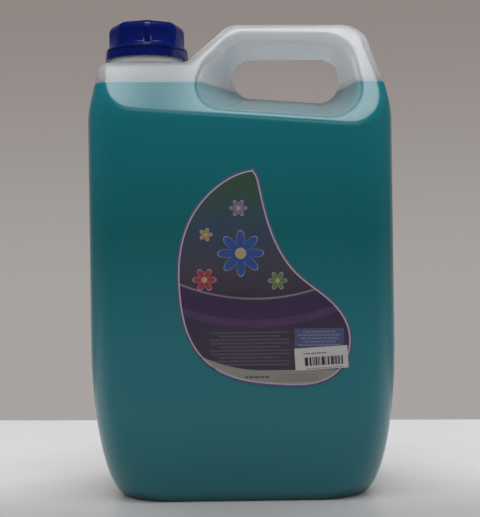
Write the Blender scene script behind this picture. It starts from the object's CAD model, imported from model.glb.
# %% [markdown]
# # Laundry detergent bottle
# A five-litre blow-moulded bottle of milky plastic, filled with teal liquid, with a dark blue
# screw cap and a leaf-shaped label. The solids come from the CAD frame. This lesson gives them
# smooth shading and their finishes, cuts the label's printed border, and winds the two threads.

# %% Load the frame
import math

import bpy
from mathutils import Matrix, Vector


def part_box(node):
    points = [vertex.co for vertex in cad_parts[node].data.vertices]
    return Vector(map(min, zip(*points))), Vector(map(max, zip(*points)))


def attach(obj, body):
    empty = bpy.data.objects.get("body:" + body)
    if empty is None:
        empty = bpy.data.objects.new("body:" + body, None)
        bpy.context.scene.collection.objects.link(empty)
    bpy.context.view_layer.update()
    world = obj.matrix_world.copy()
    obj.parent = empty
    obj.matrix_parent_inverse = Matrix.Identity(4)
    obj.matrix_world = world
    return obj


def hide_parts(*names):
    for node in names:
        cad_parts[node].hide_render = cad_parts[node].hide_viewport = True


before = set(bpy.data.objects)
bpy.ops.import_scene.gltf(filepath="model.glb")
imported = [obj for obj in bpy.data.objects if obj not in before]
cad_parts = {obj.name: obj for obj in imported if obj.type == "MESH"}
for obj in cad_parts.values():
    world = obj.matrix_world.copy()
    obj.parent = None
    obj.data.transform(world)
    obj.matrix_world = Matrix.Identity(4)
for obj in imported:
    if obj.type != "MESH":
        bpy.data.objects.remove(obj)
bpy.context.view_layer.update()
MM = 0.001
print("nodes:", sorted(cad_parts))

# %% [markdown]
# ## Camera
# The photograph was taken from the front at about half the bottle's height, from a little under
# 0.7 m. A closer camera with a wider lens would frame the bottle as well, but its sides would
# splay. A 76 mm lens gives the same perspective. The small roll follows the lean of the bottle.

# %% Camera
CAMERA_AT = (-0.001, -0.690, 0.141)
CAMERA_ROLL = math.radians(0.8)
LENS_MM = 75.9
SENSOR_MM = 36

bpy.ops.object.select_all(action="DESELECT")
bpy.ops.object.camera_add(location=CAMERA_AT, rotation=(math.pi / 2, CAMERA_ROLL, 0))
camera = bpy.context.object
camera.data.lens = LENS_MM
camera.data.sensor_width = SENSOR_MM
bpy.context.scene.camera = camera
bpy.context.scene.view_settings.view_transform = "Standard"
print("camera at", CAMERA_AT)

# %% [markdown]
# ## The table
# The bottle stands on a pale table whose back edge shows behind it, a little askew. A box would
# do as well, but only the top is ever seen, so it is one plane with a few cuts. It is moved in
# edit mode, so that its back edge lies where it has to show, and then turned.

# %% Table
TABLE_BACK = 0.261
TABLE_TURN = math.radians(-4.6)
TABLE_SPREAD = 1.5
TABLE_CUTS = 3

bpy.ops.object.select_all(action="DESELECT")
bpy.ops.mesh.primitive_plane_add(size=2)
table = bpy.context.object
table.name = "table"
bpy.ops.object.mode_set(mode="EDIT")
bpy.ops.transform.resize(value=(TABLE_SPREAD, TABLE_SPREAD, 1))
bpy.ops.transform.translate(value=(0, TABLE_BACK - TABLE_SPREAD, 0))
bpy.ops.mesh.subdivide(number_cuts=TABLE_CUTS)
bpy.ops.object.mode_set(mode="OBJECT")
table.rotation_euler = (0, 0, TABLE_TURN)
bpy.ops.object.transform_apply(location=False, rotation=True, scale=False)
print("table back edge at", TABLE_BACK)

# %% [markdown]
# ## A wire for shader maths
# A finish is a small sum worked out for each point of the surface. Adding every Math node by
# hand hides that sum, so a wire stands for one output socket: plus, minus, times and divide on
# wires add the Math nodes, and one method adds any other node.

# %% Wire


class Wire:
    """One output socket of a shader node, with arithmetic."""

    def __init__(self, tree, socket=None):
        self.tree = tree
        self.socket = socket

    def node(self, kind, inputs=None, output=0, stops=None, **settings):
        """Add a node: its settings first, then values or links on its inputs."""
        made = self.tree.nodes.new("ShaderNode" + kind)
        for name, value in settings.items():
            setattr(made, name, value)
        if stops:
            ramp = made.color_ramp.elements
            while len(ramp) < len(stops):
                ramp.new(0.5)
            for element, (position, colour) in zip(ramp, stops):
                element.position = position
                element.color = (*colour, 1.0)
        for name, value in (inputs or {}).items():
            if isinstance(value, Wire):
                self.tree.links.new(value.socket, made.inputs[name])
            else:
                made.inputs[name].default_value = value
        return Wire(self.tree, made.outputs[output])

    def maths(self, operation, *others):
        """A Math node on this wire and any others."""
        return self.node("Math", dict(enumerate((self, *others))), operation=operation)

    def __add__(self, other):
        return self.maths("ADD", other)

    __radd__ = __add__

    def __sub__(self, other):
        return self.maths("SUBTRACT", other)

    def __rsub__(self, other):
        return self.node("Math", {0: other, 1: self}, operation="SUBTRACT")

    def __mul__(self, other):
        return self.maths("MULTIPLY", other)

    __rmul__ = __mul__

    def __truediv__(self, other):
        return self.maths("DIVIDE", other)

    def __abs__(self):
        return self.maths("ABSOLUTE")

    def rise(self, low, high):
        """0 below low, 1 above high, and a soft step between them."""
        return self.node(
            "MapRange",
            {"Value": self, "From Min": low, "From Max": high},
            interpolation_type="SMOOTHSTEP",
        )

    def mixed(self, first, second):
        """A colour that goes from first to second as this wire goes from 0 to 1."""
        return self.node("Mix", {0: self, 6: first, 7: second}, output=2, data_type="RGBA")


print("wire ready")

# %% [markdown]
# ## A new finish
# Every finish starts in the same way: a Principled shader, and the place of each point in the
# object's own coordinates. The solids could be unwrapped to UV maps instead, but they share one
# frame, so plain millimetres say at once where on the bottle a mark lies. Small irregularities
# come from soft noise, and relief that is too small for the mesh comes from bump.

# %% Finish helpers


def opaque(colour):
    return (*colour, 1.0)


def new_finish(name, **constants):
    """A material, its shader, and wires for the x, y and z of the surface in millimetres."""
    material = bpy.data.materials.new(name)
    material.use_nodes = True
    shader = material.node_tree.nodes["Principled BSDF"]
    for socket, value in constants.items():
        shader.inputs[socket.replace("_", " ")].default_value = value
    start = Wire(material.node_tree)
    place = start.node("TexCoord", output="Object")
    metres = [start.node("SeparateXYZ", {0: place}, output=axis) for axis in "XYZ"]
    return material, shader, place, [axis / MM for axis in metres]


def feed(shader, **wires):
    for socket, wire in wires.items():
        wire.tree.links.new(wire.socket, shader.inputs[socket.replace("_", " ")])


def grain(place, size_mm, detail=2.0, stretch=(1, 1, 1)):
    """Soft noise from 0 to 1 with grains of about that size."""
    scale = tuple(s / (size_mm * MM) for s in stretch)
    spread = place.node("Mapping", {"Vector": place, "Scale": scale})
    return place.node("TexNoise", {"Vector": spread, "Scale": 1.0, "Detail": detail})


def bump(height, depth_mm):
    return height.node("Bump", {"Height": height, "Distance": depth_mm * MM})


print("finish helpers ready")

# %% Table finish
TABLE_NEAR = (0.34, 0.34, 0.345)
TABLE_FAR = (0.62, 0.62, 0.635)
TABLE_FADE = (-120, 30)
CLOUD_MM = 60
CLOUD_SHARE = 0.2

table_finish, shader, place, (x, y, z) = new_finish("table_top", Roughness=0.22)
cloudy = grain(place, CLOUD_MM, 4.0) * CLOUD_SHARE + y.rise(*TABLE_FADE) * (1 - CLOUD_SHARE)
feed(
    shader,
    Base_Color=cloudy.mixed(opaque(TABLE_NEAR), opaque(TABLE_FAR)),
    Normal=bump(grain(place, 0.8), 0.02),
)
table.data.materials.append(table_finish)
print("table finish ready")

# %% [markdown]
# ## Wall and room
# Behind the table is a plain grey wall, lighter towards the table. A lit sheet of mesh could
# stand there, but it would shade the table. The wall is only the colour of the world where the
# camera and reflections look, with a dim room on the side of the camera. The light that the world
# sheds is set apart from those colours. Most of it comes from behind, as from a window.

# %% World
WALL_SPAN = (-0.05, 0.25)
MIRRORED_SPAN = (0.55, 1.0)
AMBIENT_SPAN = (-0.5, 0.9)
ROOM = (0.03, 0.03, 0.033)
AMBIENT_FRONT = (0.66, 0.66, 0.66)
AMBIENT_BACK = (2.3, 2.3, 2.3)


def srgb(red, green, blue):
    """A colour read as 0 to 255 on a screen, as the linear values that shaders use."""
    shares = [v / 255 for v in (red, green, blue)]
    return tuple(s / 12.92 if s <= 0.04045 else ((s + 0.055) / 1.055) ** 2.4 for s in shares)


WALL_LOW = srgb(168, 163, 160)
WALL_HIGH = srgb(143, 135, 131)

world = bpy.data.worlds.new("wall")
bpy.context.scene.world = world
world.use_nodes = True
world.cycles.sampling_method = "NONE"
backdrop = world.node_tree.nodes["Background"]
sky = Wire(world.node_tree)
aim = sky.node("TexCoord", output="Generated")
upwards = sky.node("SeparateXYZ", {0: aim}, output="Z")
backwards = sky.node("SeparateXYZ", {0: aim}, output="Y")
wall = upwards.rise(*WALL_SPAN).mixed(opaque(WALL_LOW), opaque(WALL_HIGH))
mirrored = backwards.rise(*MIRRORED_SPAN).mixed(opaque(ROOM), wall)
shed = backwards.rise(*AMBIENT_SPAN).mixed(opaque(AMBIENT_FRONT), opaque(AMBIENT_BACK))
glossy_ray = sky.node("LightPath", output="Is Glossy Ray")
camera_ray = sky.node("LightPath", output="Is Camera Ray")
feed(backdrop, Color=camera_ray.mixed(glossy_ray.mixed(shed, mirrored), wall))
print("wall and room ready")

# %% [markdown]
# ## Lamps
# A wide lamp overhead makes the sheen on the sloping shoulder, and a long strip above and behind
# the camera draws the bright line on its edge. A point lamp would leave a hard spot on the glossy
# wall. Flat area lamps give soft sheens with the outline of real ceiling lights.

# %% Lamps
SHOULDER = Vector((0, 0, 0.23))


def soft_lamp(name, at, wide, tall, watts):
    """A flat lamp that faces the shoulder of the bottle."""
    bpy.ops.object.light_add(type="AREA", location=at)
    lamp = bpy.context.object
    lamp.name = name
    lamp.data.shape = "RECTANGLE"
    lamp.data.size = wide
    lamp.data.size_y = tall
    lamp.data.energy = watts
    lamp.rotation_euler = (SHOULDER - Vector(at)).to_track_quat("-Z", "Y").to_euler()
    print(name, watts, "W at", at)


soft_lamp("ceiling_lamp", at=(0.03, -0.30, 1.5), wide=1.0, tall=0.36, watts=8.6)
soft_lamp("front_strip", at=(0.05, -1.15, 1.25), wide=1.4, tall=0.06, watts=2.4)

# %% [markdown]
# ## Smooth copies of the solids
# A CAD node is a set of loose flat triangles. Glossy plastic would show every one of them, and a
# subdivision surface would round the edges that should stay. So each solid is copied, its
# triangles are joined, and faces that meet at a small angle share one smooth normal. The copy
# stands for the node and keeps its place and its size.

# %% Smooth copies
JOIN_WITHIN = 0.002 * MM
SMOOTH_ANGLE = math.radians(25)


def smooth_copy(node, name, body):
    """A joined and smoothly shaded copy of a CAD node, riding on its body."""
    bpy.ops.object.select_all(action="DESELECT")
    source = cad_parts[node]
    piece = bpy.data.objects.new(name, source.data.copy())
    bpy.context.scene.collection.objects.link(piece)
    piece.data.materials.clear()
    piece.select_set(True)
    bpy.context.view_layer.objects.active = piece
    bpy.ops.object.mode_set(mode="EDIT")
    bpy.ops.mesh.select_all(action="SELECT")
    bpy.ops.mesh.remove_doubles(threshold=JOIN_WITHIN)
    bpy.ops.object.mode_set(mode="OBJECT")
    bpy.ops.object.shade_smooth_by_angle(angle=SMOOTH_ANGLE)
    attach(piece, body)
    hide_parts(node)
    print(name, len(piece.data.polygons), "faces")
    return piece


shell = smooth_copy("bottle", "bottle_shell", "bottle_body")
cap = smooth_copy("cap", "screw_cap", "cap_body")
ring = smooth_copy("tamper_ring", "ring_on_neck", "bottle_body")
liner = smooth_copy("cap_liner", "foam_liner", "liner_body")
liquid = smooth_copy("detergent", "liquid_fill", "bottle_body")

# %% [markdown]
# ## The milky shell: liquid against the wall
# Natural polyethylene is milky and lets the liquid show through where it touches the wall, so the
# shell looks teal up to the level and whitish above it. Seeing that through a real clear wall
# needs many light bounces and comes out grainy. The wall is thin, so the liquid is drawn on it
# instead, with a slow change of tone down the bottle and faint patches.

# %% Shell teal
TEAL_FOOT = (0.003, 0.106, 0.124)
TEAL_LOW = (0.010, 0.134, 0.162)
TEAL_MID = (0.0, 0.104, 0.115)
TEAL_HIGH = (0.0, 0.144, 0.177)
TEAL_PATCH = (0.002, 0.15, 0.17)
PATCH_MM = 45
PATCH_SHARE = 0.2
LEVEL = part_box("detergent")[1].z / MM

shell_finish, shader, place, (x, y, z) = new_finish("milky_shell")
down = z.node(
    "ValToRGB",
    {0: z / LEVEL},
    stops=[
        (0.0, TEAL_FOOT),
        (0.2, TEAL_LOW),
        (0.38, TEAL_LOW),
        (0.64, TEAL_MID),
        (0.9, TEAL_HIGH),
    ],
)
patchy = grain(place, PATCH_MM, 3.0)
teal = (patchy * PATCH_SHARE).mixed(down, opaque(TEAL_PATCH))
print("liquid level at", round(LEVEL, 1), "mm")

# %% [markdown]
# ## The milky shell: haze on the wet wall
# Milky plastic scatters the light that falls on it, so the wet wall looks paler where it faces up,
# round the hand hole and on the lower side faces. The rim that it stands on is rubbed and dark.
# These places could be painted on by hand. They are picked by height and by the way the wall faces,
# so they stay in place when the solid changes.

# %% Shell haze
HAZE = (0.45, 0.50, 0.53)
HAZE_SHARE = 0.33
SIDE_HAZE_SHARE = 0.09
SIDE_FADE = (40, 190)
HOLE_MIDDLE = 23.0
HOLE_REACH = (48, 58)
HOLE_FOOT = (218, 232)
FOOT_RIM = (0.0, 0.030, 0.030)
FOOT_RIM_SHARE = 0.6
FOOT_RIM_FADE = (1.0, 7.0)

facing = place.node("TexCoord", output="Normal")
across, outward, up = [facing.node("SeparateXYZ", {0: facing}, output=axis) for axis in "XYZ"]
round_hole = z.rise(*HOLE_FOOT) * (1 - abs(x - HOLE_MIDDLE).rise(*HOLE_REACH))
in_hole = round_hole * (1 - abs(outward).rise(0.6, 0.75))
faces_up = up.rise(0.57, 0.85)
side_faces = abs(across).rise(0.45, 0.95) * (1 - z.rise(*SIDE_FADE))
hazy = faces_up.maths("MAXIMUM", in_hole) * HAZE_SHARE + side_faces * SIDE_HAZE_SHARE
teal = hazy.mixed(teal, opaque(HAZE))
rubbed = 1 - z.rise(*FOOT_RIM_FADE)
teal = (rubbed * FOOT_RIM_SHARE).mixed(teal, opaque(FOOT_RIM))
print("haze round the hand hole, up to", HOLE_REACH[1], "mm from its middle")

# %% [markdown]
# ## The milky shell: level, gloss and relief
# The level shows as one soft step with a darker line, where the edge of the liquid clings to the
# wall. Blown plastic also has slow ripples, a fine grain and the parting line of its mould, which
# would take millions of faces as mesh and are bump instead. Its gloss is duller on the shoulder
# by the neck and at the rubbed foot.

# %% Shell tone and gloss
MILK_LOW = (0.80, 0.82, 0.85)
MILK_HIGH = (0.88, 0.88, 0.90)
CLINGING = (0.05, 0.20, 0.22)
CLINGING_SHARE = 0.25
CLINGING_HALF = (0.2, 1.6)
SEAM_HALF = (0.15, 0.55)
RIPPLE_MM, GRAIN_MM, SCUFF_MM = 9, 0.7, 3
SCUFF_STRETCH = (1, 1, 0.12)
GLOSS = 0.24
DULL_MIDDLE = -47.5
DULL_REACH = 30.0
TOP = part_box("bottle")[1].z / MM

milk = z.rise(LEVEL, TOP).mixed(opaque(MILK_LOW), opaque(MILK_HIGH))
wet = 1 - z.rise(LEVEL - 1.2, LEVEL + 1.0)
line = 1 - abs(z - LEVEL).rise(*CLINGING_HALF)
tone = (line * CLINGING_SHARE).mixed(wet.mixed(milk, teal), opaque(CLINGING))
seam = 1 - abs(y).rise(*SEAM_HALF)
ripple = grain(place, RIPPLE_MM)
fine = grain(place, GRAIN_MM, 1.0)
relief = bump(ripple * 0.03 + fine * 0.002 + seam * 0.35, 0.3)
scuff = grain(place, SCUFF_MM, 3.0, SCUFF_STRETCH).rise(0.62, 0.75)
dull = (1 - abs(x - DULL_MIDDLE).rise(0.0, DULL_REACH)) * up.rise(0.2, 0.45)
feed(
    shader,
    Base_Color=tone,
    Roughness=GLOSS + dull * 0.15 + ripple * 0.03 + scuff * 0.012 + rubbed * 0.12,
    Normal=relief,
)
shell.data.materials.append(shell_finish)
print("milky from", round(LEVEL, 1), "to", round(TOP, 1), "mm")

# %% [markdown]
# ## Light through the milky wall
# Above the level the wall has only air behind it, and the handle glows with the light that comes
# through. A transmitting Principled shader would need two clean refractions per wall. A Translucent
# shader only passes on the light from the far side, which is what a thin milky wall does. Less
# of it is mixed in at the neck and at the sides of the hand hole, where the plastic is thicker,
# and a gloss goes over it.

# %% Light through the milky wall
SCATTERED = (0.97, 0.97, 0.98)
THROUGH = 0.88
NECK_FOOT = (260.0, 264.0)
NECK_EDGE = (-38.0, -33.0)
NECK_HELD_BACK = 0.8
HOLE_HELD_BACK = 0.34
DULL_SHINE = 0.3
PLASTIC_IOR = 1.5


def surface(wire):
    """Make a mix of shaders the surface of its material."""
    wire.tree.links.new(wire.socket, wire.tree.nodes["Material Output"].inputs["Surface"])


painted = Wire(place.tree, shader.outputs["BSDF"])
passed_on = place.node("BsdfTranslucent", {"Color": opaque(SCATTERED)})
neck = z.rise(*NECK_FOOT) * (1 - x.rise(*NECK_EDGE))
hole_sides = in_hole * abs(across).rise(0.3, 0.6)
thick = neck * NECK_HELD_BACK + hole_sides * HOLE_HELD_BACK
dry = (1 - wet) * THROUGH * (1 - thick)
lit_through = dry.node("MixShader", {0: dry, 1: painted, 2: passed_on})
polish = relief.node("BsdfGlossy", {"Roughness": GLOSS, "Normal": relief})
shine = dry * (1 - dull * DULL_SHINE) * dry.node("Fresnel", {"IOR": PLASTIC_IOR})
surface(dry.node("MixShader", {0: shine, 1: lit_through, 2: polish}))
print("milky wall lets through", THROUGH)

# %% [markdown]
# ## The liquid
# The liquid itself is seen only down the neck, when the cap is off: a teal pool with faint
# cloudiness. A volume shader would be true to it but slow, for a surface that shows so little. A
# glossy surface with soft clouds and slow waves is enough.

# %% Liquid finish
POOL_DEEP = (0.006, 0.13, 0.15)
POOL_CLOUD = (0.012, 0.18, 0.20)

liquid_finish, shader, place, _ = new_finish("teal_liquid", Roughness=0.08)
cloud = grain(place, 30, 3.0)
feed(
    shader,
    Base_Color=cloud.mixed(opaque(POOL_DEEP), opaque(POOL_CLOUD)),
    Normal=bump(grain(place, 14, 1.0), 0.15),
)
liquid.data.materials.append(liquid_finish)
print("liquid finish ready")

# %% [markdown]
# ## Cap, ring and liner
# The closure is injection-moulded in dark blue and is glossier than the bottle. Its skin has a
# very fine grain and a few rubbed places where fingers turn it. The liner is white foam with open
# cells. Modelling the grain and the cells would cost more faces than the whole bottle has, so
# both are noise that feeds colour, gloss and bump together.

# %% Closure finish
NAVY = (0.0, 0.005, 0.088)
NAVY_PALE = (0.001, 0.008, 0.122)

closure_finish, shader, place, _ = new_finish("navy_plastic", Specular_IOR_Level=0.26)
flow = grain(place, 12)
skin = grain(place, 0.35, 1.0)
worn = grain(place, 2.2, 4.0).rise(0.58, 0.72)
feed(
    shader,
    Base_Color=(flow * 0.8 + worn * 0.2).mixed(opaque(NAVY), opaque(NAVY_PALE)),
    Roughness=0.18 + skin * 0.04 + worn * 0.08,
    Normal=bump(skin * 0.02 + flow * 0.05, 0.2),
)
cap.data.materials.append(closure_finish)
ring.data.materials.append(closure_finish)
print("closure finish ready")

# %% Liner finish
FOAM_CELL = (0.70, 0.70, 0.68)
FOAM_WALL = (0.82, 0.82, 0.80)

liner_finish, shader, place, _ = new_finish("white_foam", Roughness=0.8)
cells = grain(place, 0.5)
feed(
    shader,
    Base_Color=cells.mixed(opaque(FOAM_CELL), opaque(FOAM_WALL)),
    Normal=bump(cells, 0.08),
)
liner.data.materials.append(liner_finish)
print("liner finish ready")

# %% [markdown]
# ## Label: edge and keyline
# The label is a film sticker with a thin purple edge, a pale keyline and the print inside. Its
# outline is already in the CAD solid. Insetting the front face twice gives bands of even width
# that follow the outline exactly, which no sum of x and z could do.

# %% Label piece
label = smooth_copy("front_label", "leaf_label", "bottle_body")


def choose_faces(piece, test):
    """Select the faces of a piece that pass a test, and leave it in edit mode."""
    bpy.ops.object.select_all(action="DESELECT")
    piece.select_set(True)
    bpy.context.view_layer.objects.active = piece
    bpy.ops.object.mode_set(mode="EDIT")
    bpy.ops.mesh.select_mode(type="FACE")
    bpy.ops.mesh.select_all(action="DESELECT")
    bpy.ops.object.mode_set(mode="OBJECT")
    for face in piece.data.polygons:
        face.select = test(face)
    bpy.ops.object.mode_set(mode="EDIT")


def faces_front(face):
    return face.normal.y < -0.9


choose_faces(label, faces_front)
bpy.ops.mesh.dissolve_limited(angle_limit=math.radians(0.2))
bpy.ops.object.mode_set(mode="OBJECT")
print("label faces:", len(label.data.polygons))

# %% Label edge and keyline
EDGE_BAND = 0.9 * MM
KEYLINE = 0.75 * MM
PURPLE = srgb(84, 62, 106), srgb(102, 78, 124)
PALE = srgb(150, 148, 160), srgb(166, 164, 176)

edge_finish, shader, place, _ = new_finish("label_edge", Roughness=0.4)
feed(shader, Base_Color=grain(place, 8).mixed(*map(opaque, PURPLE)))
keyline_finish, shader, place, _ = new_finish("label_keyline", Roughness=0.4)
feed(shader, Base_Color=grain(place, 5).mixed(*map(opaque, PALE)))
print_finish, print_shader, place, (x, y, z) = new_finish("label_print", Coat_Weight=0.1)
for finish in (edge_finish, keyline_finish, print_finish):
    label.data.materials.append(finish)

# Each inset leaves the inner face selected, and that face takes the next finish.
choose_faces(label, faces_front)
for slot, width in ((1, EDGE_BAND), (2, KEYLINE)):
    bpy.ops.mesh.inset(thickness=width, depth=0, use_even_offset=True)
    label.active_material_index = slot
    bpy.ops.object.material_slot_assign()
bpy.ops.object.mode_set(mode="OBJECT")
print("label faces with bands:", len(label.data.polygons))

# %% [markdown]
# ## Label: field and bands
# The print is a generic one. Its ground goes from green at the tip through grey to purple, with
# curved bands across the wide part. An image would fix its sharpness, while a formula stays sharp
# at any size, so each form is a soft mask in the label's own millimetres, laid over what came
# before it.

# %% Label field and bands
label_low, label_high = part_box("front_label")
LABEL_TALL = (label_high.z - label_low.z) / MM
BAND_CENTRE = (46, 166)
BANDS = ((122.0, 4.6, (54, 29, 72)), (129.5, 2.2, (74, 46, 88)), (115.2, 0.5, (126, 116, 140)))
u = x - label_low.x / MM
v = z - label_low.z / MM


def lay(under, mask, share, colour):
    """Lay an ink over what is there, where the mask is 1, at a share of its full strength."""
    return (mask * share).mixed(under, opaque(srgb(*colour)))


def from_point(cu, cv):
    """Offsets and distance in millimetres from a point of the label."""
    du, dv = u - cu, v - cv
    return du, dv, (du * du + dv * dv).maths("SQRT")


field = v.node(
    "ValToRGB",
    {0: v / LABEL_TALL},
    stops=[
        (0.0, srgb(46, 38, 54)),
        (0.20, srgb(50, 40, 58)),
        (0.32, srgb(46, 32, 58)),
        (0.42, srgb(52, 38, 56)),
        (0.54, srgb(58, 54, 66)),
        (0.74, srgb(40, 64, 82)),
        (0.90, srgb(44, 74, 56)),
        (1.0, srgb(42, 74, 52)),
    ],
)
soft = grain(place, 16, 3.0)
ink = lay(field, soft, 0.15, (84, 80, 98))
away = from_point(*BAND_CENTRE)[2]
for radius, half, colour in BANDS:
    band = 1 - (abs(away - radius) - half).rise(-0.3, 0.3)
    ink = lay(ink, band, 0.55 + 0.45 * soft, colour)
print("label field with", len(BANDS), "bands")

# %% [markdown]
# ## Label: rosettes
# A few plain rosettes in several colours are scattered over the upper part. Each could be cut out
# as a thin mesh, but five inks on one film have no thickness of their own. The cosine of the
# angle round a centre makes the petals, so one short function draws all of them.

# %% Label rosettes
ROSETTES = (
    (37, 77, 13.5, 8, (30, 68, 136)),
    (16, 62, 7.0, 6, (150, 40, 50)),
    (58, 61, 5.6, 6, (88, 116, 50)),
    (36, 103, 5.2, 6, (110, 97, 134)),
    (17, 88, 4.0, 5, (156, 120, 52)),
)
RIM_INK = (146, 150, 164)
HEART_INK = (160, 144, 94)
PETAL_ROOT = 0.42
HEART_SIZE = 0.24


def rosette(cu, cv, size, petals):
    """Soft masks of a rosette's petals, of their pale rim and of its heart."""
    du, dv, away = from_point(cu, cv)
    lobes = abs((dv.maths("ARCTAN2", du) * (petals / 2)).maths("COSINE"))
    past_edge = away - size * (PETAL_ROOT + (1 - PETAL_ROOT) * lobes)
    petal = 1 - past_edge.rise(-0.25, 0.25)
    rim = 1 - (abs(past_edge + 0.35) - 0.3).rise(-0.2, 0.2)
    heart = 1 - (away - HEART_SIZE * size).rise(-0.2, 0.2)
    return petal, rim, heart


for cu, cv, size, petals, colour in ROSETTES:
    petal, rim, heart = rosette(cu, cv, size, petals)
    ink = lay(ink, petal, 0.85, colour)
    ink = lay(ink, rim, 0.6, RIM_INK)
    ink = lay(ink, heart, 0.9, HEART_INK)
print(len(ROSETTES), "rosettes")

# %% [markdown]
# ## Label: small print
# Below the bands are a block of small print, a ruled box with lines and a cream strip along the
# foot. From where the camera stands, small print is only rows of grey marks, and letters made as
# text would be too fine to read. So the rows are short bars with gaps, and their ends are uneven.

# %% Small print helper
WORD_MM = 3.1
ROW_SHIFT = 1.9


def small_print(u, v, ends, heights, pitch, seed):
    """Rows of short bars between two ends and two heights, as far off as small print looks."""
    left, right = ends
    low, high = heights
    rows = (v - low) / pitch
    row = rows.maths("FLOOR")
    part = rows.maths("FRACT")
    reach = (right - left) / 2 * (0.86 + 0.14 * (row * 2.1 + seed).maths("SINE"))
    gap = ((u + row * ROW_SHIFT) / WORD_MM).maths("FRACT")
    inside = v.rise(low - 0.05, low) * (1 - v.rise(high, high + 0.05))
    along = 1 - (abs(u - (left + right) / 2) - reach).rise(-0.2, 0.2)
    return inside * along * (1 - part.rise(0.36, 0.48)) * gap.rise(0.10, 0.18)


print("small print with words of", WORD_MM, "mm")

# %% Label small print
BOX_MIDDLE = (81.5, 28.0)
BOX_INK = (70, 74, 112)
STRIP_HEIGHT = 9.6
STRIP_BEND_FROM = 50
STRIP_BEND = 0.0062
STRIP_INK = (128, 125, 117)

ink = lay(ink, small_print(u, v, (17, 66), (12.5, 33), 2.05, 0.5), 0.55, (98, 91, 108))
box_u, box_v = abs(u - BOX_MIDDLE[0]), abs(v - BOX_MIDDLE[1])
ruled = (1 - box_u.rise(14.0, 14.3)) * (1 - box_v.rise(5.2, 5.5))
ink = lay(ink, ruled, 0.85, BOX_INK)
ink = lay(ink, small_print(u, v, (69, 94), (23.4, 32.6), 1.9, 2.0), 0.6, (122, 128, 156))
past_bend = (STRIP_BEND_FROM - u).maths("MAXIMUM", 0.0)
strip_top = STRIP_HEIGHT + STRIP_BEND * (past_bend * past_bend)
ink = lay(ink, 1 - (v - strip_top).rise(-0.25, 0.25), 1.0, STRIP_INK)
ink = lay(ink, small_print(u, v, (56, 83), (3.4, 8.0), 1.5, 1.2), 0.55, (80, 76, 82))
ink = lay(ink, small_print(u, v, (38, 53), (5.2, 8.0), 2.8, 0.4), 0.8, (58, 56, 58))
feed(
    print_shader,
    Base_Color=ink,
    Roughness=0.34 + grain(place, 1.5) * 0.1,
    Normal=bump(grain(place, 22) * 0.4 + grain(place, 0.6) * 0.03, 0.25),
)
print("label print ready")

# %% [markdown]
# ## Code sticker
# A small white paper sticker is stuck over the label a little askew. It has plain uneven bars,
# which code nothing, and bars for small print. Bars of mesh would have to be cut one by one, while
# a cut through soft noise gives uneven widths at once. The pattern is turned by the sticker's turn.

# %% Sticker piece
STICKER_TURN = math.radians(3.0)

sticker = smooth_copy("code_sticker", "white_sticker", "bottle_body")
sticker_low, sticker_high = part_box("code_sticker")
centre = (sticker_low + sticker_high) / 2
sticker_finish, shader, place, _ = new_finish("sticker_paper", Specular_IOR_Level=0.4)
level = place.node(
    "VectorRotate",
    {"Vector": place, "Center": centre, "Angle": STICKER_TURN},
    rotation_type="Y_AXIS",
)
u = (level.node("SeparateXYZ", {0: level}, output="X") - centre.x) / MM
v = (level.node("SeparateXYZ", {0: level}, output="Z") - centre.z) / MM
print("sticker at", tuple(round(c, 4) for c in centre))

# %% Sticker finish
PAPER = srgb(168, 164, 162), srgb(180, 176, 174)
BAR_INK = (0.02, 0.02, 0.025)
PRINT_INK = (0.05, 0.05, 0.06)
FOOT_INK = (0.06, 0.06, 0.07)
BARS_PER_MM = 1.15
BARS_MIDDLE = (1.5, -1.6)

fibres = grain(place, 0.4, 3.0)
paper = fibres.mixed(*map(opaque, PAPER))
along = {"W": u * BARS_PER_MM, "Scale": 1.0, "Detail": 0.0}
uneven = u.node("TexNoise", along, noise_dimensions="1D")
bar_u, bar_v = abs(u - BARS_MIDDLE[0]), abs(v - BARS_MIDDLE[1])
bar_field = (1 - bar_u.rise(11.4, 11.6)) * (1 - bar_v.rise(2.4, 2.5))
paper = (uneven.rise(0.45, 0.49) * bar_field).mixed(paper, opaque(BAR_INK))
head_print = small_print(u, v, (-11, 4), (2.6, 4.4), 1.9, 0.3)
paper = (head_print * 0.75).mixed(paper, opaque(PRINT_INK))
foot_print = small_print(u, v, (-9, 12), (-5.9, -4.7), 1.3, 1.0)
paper = (foot_print * 0.6).mixed(paper, opaque(FOOT_INK))
feed(shader, Base_Color=paper, Roughness=0.55 + fibres * 0.1, Normal=bump(fibres, 0.02))
sticker.data.materials.append(sticker_finish)
print("sticker finish ready")

# %% [markdown]
# ## Threads
# The neck has an outside thread and the cap an inside one, with the same right-hand pitch that
# the joint uses. A sweep along a helix curve would do, but its profile tilts. A small trapezoid
# wound up with a Screw modifier keeps it upright. Half a pitch lies between the two threads, so
# the cap runs up its helix without touching. The ends taper off into the wall.

# %% Thread winding
PITCH = 4.8
TURNS = 1.9
STEPS = 64
ROOT_HALF, CREST_HALF = 1.0, 0.45
RINGS = int(STEPS * TURNS)


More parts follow.
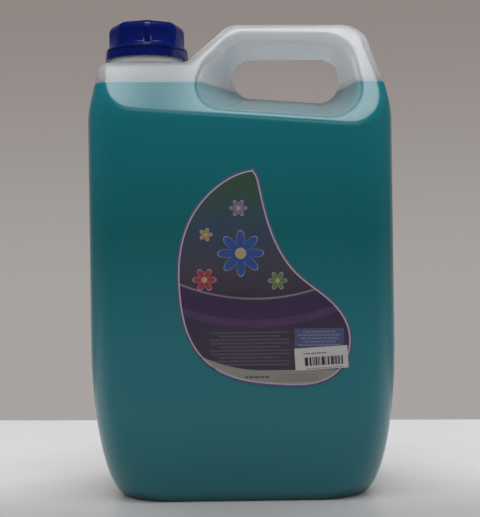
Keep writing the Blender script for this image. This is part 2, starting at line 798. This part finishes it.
def wound_ridge(name, root, crest):
    """A trapezoid from the root radius to the crest radius, wound up and closed at its ends."""
    bpy.ops.object.select_all(action="DESELECT")
    bpy.ops.mesh.primitive_circle_add(vertices=4, radius=MM)
    piece = bpy.context.object
    piece.name = name
    corners = ((root, -ROOT_HALF), (crest, -CREST_HALF), (crest, CREST_HALF), (root, ROOT_HALF))
    for vertex, (radius, height) in zip(piece.data.vertices, corners):
        vertex.co = (radius * MM, 0, height * MM)
    winding = piece.modifiers.new("winding", "SCREW")
    winding.angle = math.tau * TURNS
    winding.screw_offset = PITCH * TURNS * MM
    winding.steps = winding.render_steps = RINGS
    winding.use_merge_vertices = False
    bpy.ops.object.modifier_apply(modifier=winding.name)
    bpy.ops.object.mode_set(mode="EDIT")
    bpy.ops.mesh.select_all(action="SELECT")
    bpy.ops.mesh.fill_holes(sides=4)
    bpy.ops.mesh.normals_make_consistent(inside=False)
    bpy.ops.object.mode_set(mode="OBJECT")
    return piece


print("threads of", TURNS, "turns,", PITCH, "mm apart")

# %% Threads
NECK_AXIS = (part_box("cap")[0].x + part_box("cap")[1].x) / 2
NECK_ROOT, NECK_CREST = 19.0, 20.5
CAP_ROOT, CAP_CREST = 21.1, 19.6
THREAD_LOW = 273.4
THREAD_ANGLE = math.radians(30)
TAPER = 10.0
BLUNT = 2


def taper_ends(piece, root):
    """Let the first and the last steps of a ridge run out into the wall."""
    for vertex in piece.data.vertices:
        turned = (vertex.co.z / MM / PITCH) * STEPS
        to_end = min(turned + BLUNT, RINGS + 1 - turned + BLUNT)
        share = max(0.0, min(1.0, to_end / TAPER))
        radius = math.hypot(vertex.co.x, vertex.co.y)
        wanted = root * MM + (radius - root * MM) * share
        vertex.co.x *= wanted / radius
        vertex.co.y *= wanted / radius


def wound_thread(name, root, crest, low, body, finish):
    """A tapered ridge on the axis of the neck, starting at height low."""
    piece = wound_ridge(name, root, crest)
    taper_ends(piece, root)
    bpy.ops.object.mode_set(mode="EDIT")
    bpy.ops.mesh.select_all(action="SELECT")
    bpy.ops.transform.translate(value=(NECK_AXIS, 0, low * MM))
    bpy.ops.object.mode_set(mode="OBJECT")
    bpy.ops.object.shade_smooth_by_angle(angle=THREAD_ANGLE)
    piece.data.materials.append(finish)
    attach(piece, body)
    print(name, "from", low, "mm,", len(piece.data.polygons), "faces")


wound_thread(
    "neck_thread", NECK_ROOT, NECK_CREST, THREAD_LOW, "bottle_body", shell_finish
)
wound_thread(
    "cap_thread", CAP_ROOT, CAP_CREST, THREAD_LOW + PITCH / 2, "cap_body", closure_finish
)
